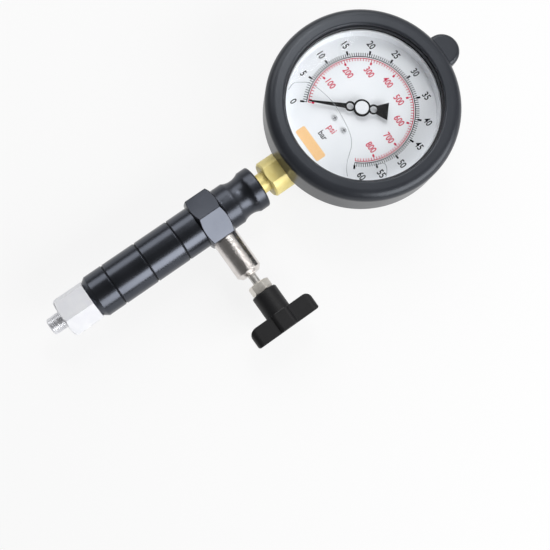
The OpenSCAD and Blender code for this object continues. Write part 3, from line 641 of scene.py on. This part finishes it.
def draw_scale(name, ink, full, step, heavy_every, ring, tick_end, heavy):
    """Draws a ring, its light ticks and its heavy ticks."""
    mesh = bmesh.new()
    add_arc(mesh, ring, RING_WIDTH)
    for i in range(int(full / step) + 1):
        turn = scale_turn(i * step / full)
        add_tick(mesh, turn, ring, tick_end, TICK_WIDTH)
        if i % heavy_every == 0:
            add_tick(mesh, turn, *heavy, HEAVY_WIDTH)
    add_piece(name, mesh, ink, "tester")


draw_scale("bar_scale", black_ink, FULL_BAR, step=0.5, heavy_every=10,
           ring=34.4, tick_end=36.9, heavy=(36.0, 38.6))
draw_scale("psi_scale", red_ink, FULL_PSI, step=10.0, heavy_every=10,
           ring=33.35, tick_end=31.5, heavy=(31.3, 29.6))

# %% [markdown]
# Numbers are set with Blender's own letters, squeezed sideways as dial numbers are, and turned into
# thin plates. Each word is centred on its place by its own outline, because the letters' own middle
# line is not the middle of what is seen. The numbers at the ends are nudged along, as printers do
# where space is short.

# %% Numbers and words
FIGURE_HEIGHT = 0.72
LETTER_STEPS, LETTER_DEPTH, LETTER_WEIGHT = 3, 0.01, 0.016
NUDGES = {0: -1.0, 55: -2.0, 60: -6.8}


def letter_shape(word, weight):
    """The mesh of a word in Blender's own letters."""
    letters = bpy.data.curves.new("letters", "FONT")
    letters.body = word
    letters.resolution_u = LETTER_STEPS
    letters.extrude = LETTER_DEPTH
    letters.offset = weight
    holder = new_object("letters", letters)
    ready = holder.evaluated_get(bpy.context.evaluated_depsgraph_get())
    shape = bpy.data.meshes.new_from_object(ready)
    bpy.data.objects.remove(holder)
    bpy.data.curves.remove(letters)
    return shape


def add_word(mesh, word, across, up, height, squeeze, weight=LETTER_WEIGHT):
    """Adds a printed word, centred, with its capitals or figures height millimetres tall."""
    shape = letter_shape(word, weight)
    xs, ys = [v.co.x for v in shape.vertices], [v.co.y for v in shape.vertices]
    mid_x, mid_y = (min(xs) + max(xs)) / 2, (min(ys) + max(ys)) / 2
    grow = height / FIGURE_HEIGHT
    for v in shape.vertices:
        lift = INK_THICK if v.co.z > 0 else 0.0
        v.co = on_dial(across + (v.co.x - mid_x) * grow * squeeze, up + (v.co.y - mid_y) * grow, lift)
    mesh.from_mesh(shape)
    bpy.data.meshes.remove(shape)


def draw_words(name, ink, words):
    """Draws a list of words as one piece."""
    mesh = bmesh.new()
    for word in words:
        add_word(mesh, **word)
    add_piece(name, mesh, ink, "tester")


def round_the_scale(values, full, radius, height, squeeze):
    """Words for numbers that stand upright round a scale."""
    words = []
    for value in values:
        turn = scale_turn(value / full) + math.radians(NUDGES.get(value, 0))
        across, up = at_turn(radius, turn)
        words.append({"word": str(value), "across": across, "up": up,
                      "height": height, "squeeze": squeeze})
    return words


draw_words("bar_numbers", black_ink,
           round_the_scale(range(0, 61, 5), FULL_BAR, radius=42.7, height=4.6, squeeze=0.76))
draw_words("psi_numbers", red_ink,
           round_the_scale(range(100, 801, 100), FULL_PSI, radius=24.9, height=4.5, squeeze=0.74))
draw_words("psi_word", red_ink, [{"word": "psi", "across": 0.0, "up": -23.3, "height": 4.4,
                                  "squeeze": 0.85, "weight": 0.008}])
draw_words("bar_word", black_ink, [{"word": "bar", "across": 0.0, "up": -29.6, "height": 4.0,
                                    "squeeze": 0.85, "weight": 0.012}])

# %% [markdown]
# Each of the dial's screws has a cross slot. It is too small to need a cut, so two thin dark bars of
# painted shade lie on the screw's head where the slot's hollow would be shaded.

# %% Screw slots
SCREW_ACROSS, SCREW_UP = 4.8, -17.0
SLOT_HALF_LONG, SLOT_HALF_WIDE = 1.1, 0.22
slot_painted_shade = mottled_finish("slot_painted_shade", [(52, 53, 56), (76, 77, 80)], size=0.4,
                           roughness=0.6, spread=0.1, specular_ior_level=0.2)
screw_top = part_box("dial_screws")[1].z - DIAL_FACE
slots = bmesh.new()
for across in (-SCREW_ACROSS, SCREW_ACROSS):
    for wide, tall in ((SLOT_HALF_LONG, SLOT_HALF_WIDE), (SLOT_HALF_WIDE, SLOT_HALF_LONG)):
        add_plate(slots, [(across + x * wide, SCREW_UP + y * tall)
                          for x, y in ((-1, -1), (1, -1), (1, 1), (-1, 1))], screw_top)
add_piece("screw_slots", slots, slot_painted_shade, "tester")

# %% [markdown]
# At the foot of the dial is a plain orange field. It is one plate with cut corners.

# %% Orange field
LEFT, RIGHT, LOW, HIGH, CUT = -11.8, 11.4, -42.6, -35.6, 0.8
field = bmesh.new()
add_plate(field, [(LEFT + CUT, LOW), (RIGHT - CUT, LOW), (RIGHT, LOW + CUT), (RIGHT, HIGH - CUT),
                  (RIGHT - CUT, HIGH), (LEFT + CUT, HIGH), (LEFT, HIGH - CUT), (LEFT, LOW + CUT)])
add_piece("orange_field", field, orange_ink, "tester")

# %% [markdown]
# The case is filled with a clear liquid that calms the pointer, and a bubble is left in it. All that
# shows is the bubble's edge: a fine grey line where the liquid meets the window. A smooth curve runs
# through a few points, and a thin flattened bead is swept along it against the underside of the
# glass.

# %% Bubble edge
BEAD_WIDE, BEAD_TALL, BEAD_SIDES = 0.2 * MM, 0.12 * MM, 8
PATH_STEPS = 10
BIG_EDGE = [(-34.1, -32.4), (-35.7, -27.6), (-33.9, -23.8), (-29.9, -19.1), (-21.7, -16.1),
            (-12.0, -14.5), (-4.1, -14.9), (2.7, -15.8), (8.2, -17.0), (13.1, -18.8),
            (17.0, -21.6), (20.1, -25.4), (23.2, -29.2), (27.2, -32.6), (30.7, -34.6)]
SMALL_EDGE = [(35.4, -16.3), (35.6, -13.3), (36.8, -11.3), (38.3, -10.9), (40.8, -11.9),
              (42.8, -13.6), (44.3, -15.2)]


def smooth_path(points):
    """Points of a curve that passes through all the given points."""
    ends = [points[0] * 2 - points[1]] + points + [points[-1] * 2 - points[-2]]
    path = []
    for a, b, c, d in zip(ends, ends[1:], ends[2:], ends[3:]):
        for k in range(PATH_STEPS):
            t = k / PATH_STEPS
            path.append(0.5 * (2 * b + (c - a) * t + (2 * a - 5 * b + 4 * c - d) * t ** 2
                               + (3 * b - a - 3 * c + d) * t ** 3))
    return path + [points[-1]]


def add_bead(mesh, path):
    """Sweeps a flattened round bead along a level path."""
    angles = [2 * math.pi * k / BEAD_SIDES for k in range(BEAD_SIDES)]
    loops = []
    for i, point in enumerate(path):
        ahead = (path[min(i + 1, len(path) - 1)] - path[max(i - 1, 0)]).normalized()
        aside, up = Vector((-ahead.y, ahead.x, 0)) * BEAD_WIDE, Vector((0, 0, BEAD_TALL))
        loops.append([mesh.verts.new(point + aside * math.cos(a) + up * math.sin(a)) for a in angles])
    join_loops(mesh, loops)


bubble_edge = mottled_finish("bubble_edge", [(148, 151, 156), (188, 190, 194)], size=6,
                             roughness=0.15, spread=0.1, specular_ior_level=0.5, alpha=0.6)
bead_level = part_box("window")[0].z - BEAD_TALL
beads = bmesh.new()
for edge in (BIG_EDGE, SMALL_EDGE):
    add_bead(beads, smooth_path([Vector((up * MM, -across * MM, bead_level)) for across, up in edge]))
add_piece("bubble_edge", beads, bubble_edge, "tester")

# %% [markdown]
# One thread shows, on the adapter's nipple. The solid carries it as a plain cylinder, so a thin ridge
# is wound round it. A thread is a blunt triangle swept along a helix, and a short run-out at both
# ends lets it fade into the cylinder.

# %% Nipple thread
THREAD_RADIUS, THREAD_PITCH, THREAD_HEIGHT = 5.55 * MM, 1.0 * MM, 0.06 * MM
THREAD_FROM_TIP, THREAD_TO_TIP = 8.6 * MM, 1.6 * MM
STEPS_A_TURN, RUN_OUT_TURNS = 36, 0.6
FOOT, CREST = 0.46 * THREAD_PITCH, 0.1 * THREAD_PITCH


def wind_thread(name, start, end, material, body):
    """Winds a thread ridge round the straight line from start to end."""
    axis = (end - start).normalized()
    side = axis.orthogonal().normalized()
    other = axis.cross(side)
    length = (end - start).length
    turns = length / THREAD_PITCH
    steps = int(turns * STEPS_A_TURN)
    mesh = bmesh.new()
    loops = []
    for i in range(steps + 1):
        share = i / steps
        turn = 2 * math.pi * turns * share
        out = side * math.cos(turn) + other * math.sin(turn)
        fade = min(1.0, share * turns / RUN_OUT_TURNS, (1 - share) * turns / RUN_OUT_TURNS)
        low, high = THREAD_RADIUS - THREAD_HEIGHT / 2, THREAD_RADIUS + THREAD_HEIGHT * fade
        centre = start + axis * length * share
        loops.append([mesh.verts.new(centre + axis * along + out * radius) for along, radius in
                      ((-FOOT, low), (-CREST, high), (CREST, high), (FOOT, low))])
    join_loops(mesh, loops)
    add_piece(name, mesh, material, body)


nut_low, nut_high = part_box("jam_nut")
stem_level = (nut_low.z + nut_high.z) / 2
tip_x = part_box("end_adapter")[0].x
wind_thread("nipple_thread", Vector((tip_x + THREAD_FROM_TIP, 0, stem_level)),
            Vector((tip_x + THREAD_TO_TIP, 0, stem_level)), zinc_steel, "tester")

# %% [markdown]
# Inside the handle a coil spring holds the check poppet down. When the poppet lifts the coil has to
# shorten, so a copy of the coil stands for the solid, and the solid itself is hidden.

# %% Check spring
coil = new_object("check_coil", nodes["check_spring"].data.copy())
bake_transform(coil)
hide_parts("check_spring")

# %% [markdown]
# The studio is a white table under soft light. The floor must look white and still hold the shadow,
# so its shader is part plain white paint and part its own white light. The camera sees that light,
# and so do mirrors and clear panes, but it never adds to the soft light on the object.

# %% White floor
FLOOR_HALF, FLOOR_GAP = 4.0, 0.05 * MM
FLOOR_PAINT, FLOOR_GLOW = (0.7, 0.7, 0.7, 1), 0.85


def seen_directly(wire):
    """1 for rays from the camera, off mirrors and through panes, and 0 for rays of light alone."""
    path = wire.tree.nodes.new("ShaderNodeLightPath")
    camera_ray, glossy_ray, pane_ray = [Wire(wire.tree, path.outputs[name]) for name in
                                        ("Is Camera Ray", "Is Glossy Ray", "Is Transmission Ray")]
    return wire.math("MAXIMUM", wire.math("MAXIMUM", camera_ray, glossy_ray), pane_ray)


floor_white, wire, _ = start_finish("floor_white")
paint = wire.node("ShaderNodeBsdfDiffuse", None, {"Color": FLOOR_PAINT})
glow = wire.node("ShaderNodeEmission", None, {"Color": WHITE, "Strength": 1.0})
share = seen_directly(wire) * FLOOR_GLOW
cover(floor_white, wire, wire.node("ShaderNodeMixShader", None, {0: share, 1: paint, 2: glow}))

table = bmesh.new()
bmesh.ops.create_grid(table, x_segments=2, y_segments=2, size=FLOOR_HALF)
floor_mesh = bpy.data.meshes.new("floor")
table.to_mesh(floor_mesh)
table.free()
floor_mesh.materials.append(floor_white)
floor = new_object("floor", floor_mesh)
floor.location.z = cad_box[0].z - FLOOR_GAP
print("floor at", round(floor.location.z / MM, 2), "mm")

# %% [markdown]
# The room itself stays dim, a little lighter near the table, so that black pieces have something dark
# to mirror. The camera itself sees plain pale white.

# %% Room light
ROOM_LIGHT = 0.28
ROOM_STOPS = [(0.0, 1.0), (0.1, 1.0), (0.35, 0.5), (1.0, 0.45)]
PALE = (0.9, 0.9, 0.9, 1)
world = bpy.data.worlds.new("studio")
bpy.context.scene.world = world
world.use_nodes = True
wire = Wire(world.node_tree)
background = world.node_tree.nodes["Background"]
facing = wire.node("ShaderNodeTexCoord", out="Generated")
upward = wire.node("ShaderNodeSeparateXYZ", None, {0: facing}, out="Z")
room = wire.node("ShaderNodeValToRGB", {"stops": ROOM_STOPS}, {0: upward})
direct = wire.node("ShaderNodeLightPath", out="Is Camera Ray")
wire.feed(background.inputs["Color"], mix_colours(wire, direct, room, PALE))
wire.feed(background.inputs["Strength"], direct * (1 - ROOM_LIGHT) + ROOM_LIGHT)
print("room light", ROOM_LIGHT)

# %% [markdown]
# Four soft boxes light the tester. Two long ones hang on either side of the handle, and their
# reflections are the two long bands on it, the stronger one on the valve's side. The third is a wide
# pale panel over the dial, which the flat brass mirrors. A small one gives the boot its sheen.

# %% Soft boxes
def soft_box(name, place, wide, tall, power):
    """Hangs a soft box at a place from the tester's middle, level along the handle and facing it."""
    lamp = bpy.data.lights.new(name, "AREA")
    lamp.shape = "RECTANGLE"
    lamp.size, lamp.size_y = wide, tall
    lamp.energy = power
    holder = new_object(name, lamp)
    holder.location = (cad_box[0] + cad_box[1]) / 2 + Vector(place)
    holder.rotation_euler = Vector((0, place[1], place[2])).to_track_quat("Z", "Y").to_euler()
    print(name, "at", [round(x, 2) for x in holder.location])


soft_box("key_box", place=(0.46, -0.81, 0.485), wide=1.3, tall=0.64, power=14.7)
soft_box("fill_box", place=(0.35, 0.78, 0.54), wide=1.3, tall=0.5, power=4.9)
soft_box("top_panel", place=(0.845, 0.3, 0.78), wide=1.4, tall=0.95, power=3.3)
soft_box("boot_box", place=(0.3, 0.38, 0.78), wide=0.22, tall=0.3, power=1.65)

# %% [markdown]
# The camera stands above the handle, a little towards its end, and looks down on the dial at a slant.
# Its place and turn were found by matching known points of the tester with the picture.

# %% Camera
CAMERA_PLACE = (-172.94 * MM, -90.43 * MM, 572.7 * MM)
CAMERA_TURN = (7.4262, -3.6923, -35.5374)
SENSOR_WIDTH, FOCAL_LENGTH, NEAREST = 36.0, 57.89, 0.01
lens = bpy.data.cameras.new("camera")
lens.sensor_width = SENSOR_WIDTH
lens.lens = FOCAL_LENGTH
lens.clip_start = NEAREST
camera = new_object("camera", lens)
camera.location = CAMERA_PLACE
camera.rotation_euler = [math.radians(degrees) for degrees in CAMERA_TURN]
bpy.context.scene.camera = camera
bpy.context.scene.view_settings.view_transform = "Standard"
print("camera at", [round(x, 3) for x in camera.location])
